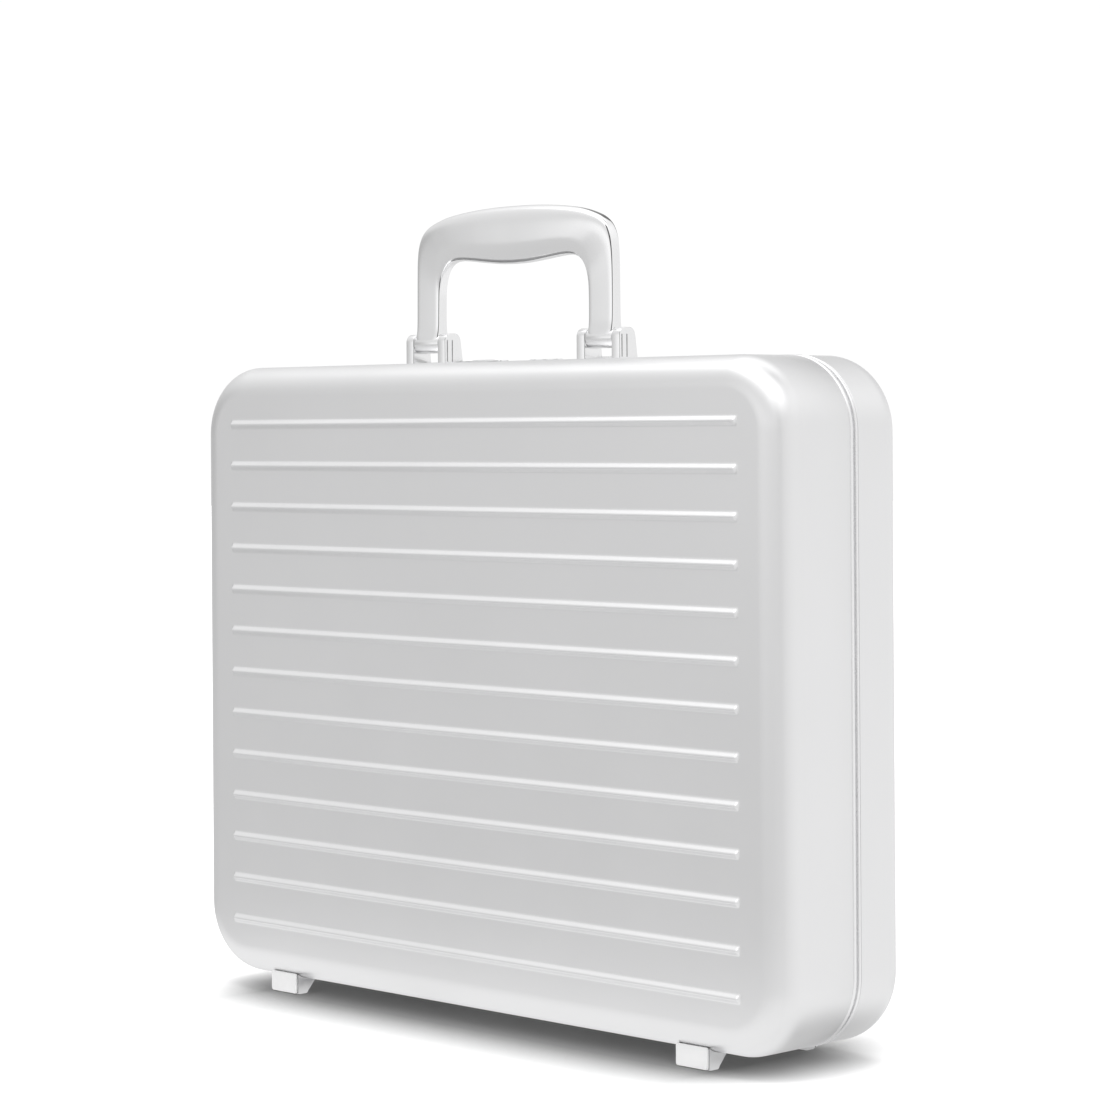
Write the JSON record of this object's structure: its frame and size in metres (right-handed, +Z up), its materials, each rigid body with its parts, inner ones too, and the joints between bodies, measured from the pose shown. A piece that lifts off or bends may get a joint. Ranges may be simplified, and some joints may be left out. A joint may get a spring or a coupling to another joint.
{
  "type": "aluminium attache case",
  "caption": "Slim ribbed aluminium attache case standing on its feet, with a swinging cast handle, a hinged lid on stays, sliding latch buttons and a combination lock.",
  "frame": {"origin": "on the floor plane under the middle of the case, midway between the two ribbed faces", "axes": "+X along the width to the right as seen from the front, +Y from the front face (handle side shell) to the back (lid), +Z up towards the handle"},
  "size_m": [0.4206, 0.0916, 0.412],
  "materials": {
    "shell": "satin anodised, fine bead-blasted grain",
    "frame": "anodised extrusion with polished edges",
    "polished": "satin polished casting",
    "foot": "satin casting",
    "steel": "zinc plated",
    "rubber": "matte",
    "lining": "woven lining cloth",
    "bushing": "natural nylon"
  },
  "bodies": {
    "base": {"front_shell": "shell", "front_frame": "frame", "gasket": "rubber", "front_lining": "lining", "handle_bracket_left": "polished", "handle_bracket_right": "polished", "bracket_backing_left": "steel", "bracket_backing_right": "steel", "bracket_screws": "steel", "handle_pin_left": "steel", "handle_pin_right": "steel", "keeper_left": "steel", "keeper_right": "steel", "frame_rivets": "steel", "hinge_leaf_front_left": "steel", "hinge_leaf_front_right": "steel", "hinge_pin_left": "steel", "hinge_pin_right": "steel", "hinge_rivets_front": "steel", "front_foot_left": "foot", "front_foot_right": "foot", "front_foot_plate_left": "polished", "front_foot_plate_right": "polished", "foot_screws_front": "steel", "stay_bracket_left": "steel", "stay_bracket_right": "steel", "stay_pin_left": "steel", "stay_pin_right": "steel"},
    "lid": {"rear_shell": "shell", "rear_frame": "frame", "rear_lining": "lining", "document_pocket": "lining", "hinge_leaf_rear_left": "steel", "hinge_leaf_rear_right": "steel", "hinge_rivets_rear": "steel", "rear_foot_left": "foot", "rear_foot_right": "foot", "rear_foot_plate_left": "polished", "rear_foot_plate_right": "polished", "foot_screws_rear": "steel", "lock_case": "steel", "lock_cover": "polished", "dial_axle": "steel", "detent_spring": "steel", "latch_spring_left": "steel", "latch_spring_right": "steel", "stay_arm_left": "steel", "stay_arm_right": "steel", "stay_arm_rivets": "steel"},
    "handle": {"handle": "polished", "handle_bushing_left": "bushing", "handle_bushing_right": "bushing"},
    "latch_left": {"latch_button_left": "polished", "latch_claw_left": "steel"},
    "latch_right": {"latch_button_right": "polished", "latch_claw_right": "steel"},
    "dial_left": {"dial_left": "polished"},
    "dial_middle": {"dial_middle": "polished"},
    "dial_right": {"dial_right": "polished"}
  },
  "joints": [
    {"name": "lid_hinge", "type": "hinge", "parent": "base", "child": "lid", "pos_m": [0, 0.0067, 0.0044], "axis": [-1, 0, 0], "range_deg": [0, 90]},
    {"name": "handle_swing", "type": "hinge", "parent": "base", "child": "handle", "pos_m": [0, -0.007, 0.3435], "axis": [1, 0, 0], "range_deg": [0, 105]},
    {"name": "latch_left_slide", "type": "slide", "parent": "lid", "child": "latch_left", "axis": [1, 0, 0], "range_m": [0, 0.005], "deforming": ["latch_spring_left"]},
    {"name": "latch_right_slide", "type": "slide", "parent": "lid", "child": "latch_right", "axis": [-1, 0, 0], "range_m": [0, 0.005], "deforming": ["latch_spring_right"]},
    {"name": "dial_left_turn", "type": "hinge", "parent": "lid", "child": "dial_left", "pos_m": [-0.008, 0.0142, 0.3308], "axis": [1, 0, 0], "continuous": true},
    {"name": "dial_middle_turn", "type": "hinge", "parent": "lid", "child": "dial_middle", "pos_m": [0, 0.0142, 0.3308], "axis": [1, 0, 0], "continuous": true},
    {"name": "dial_right_turn", "type": "hinge", "parent": "lid", "child": "dial_right", "pos_m": [0.008, 0.0142, 0.3308], "axis": [1, 0, 0], "continuous": true}
  ]
}
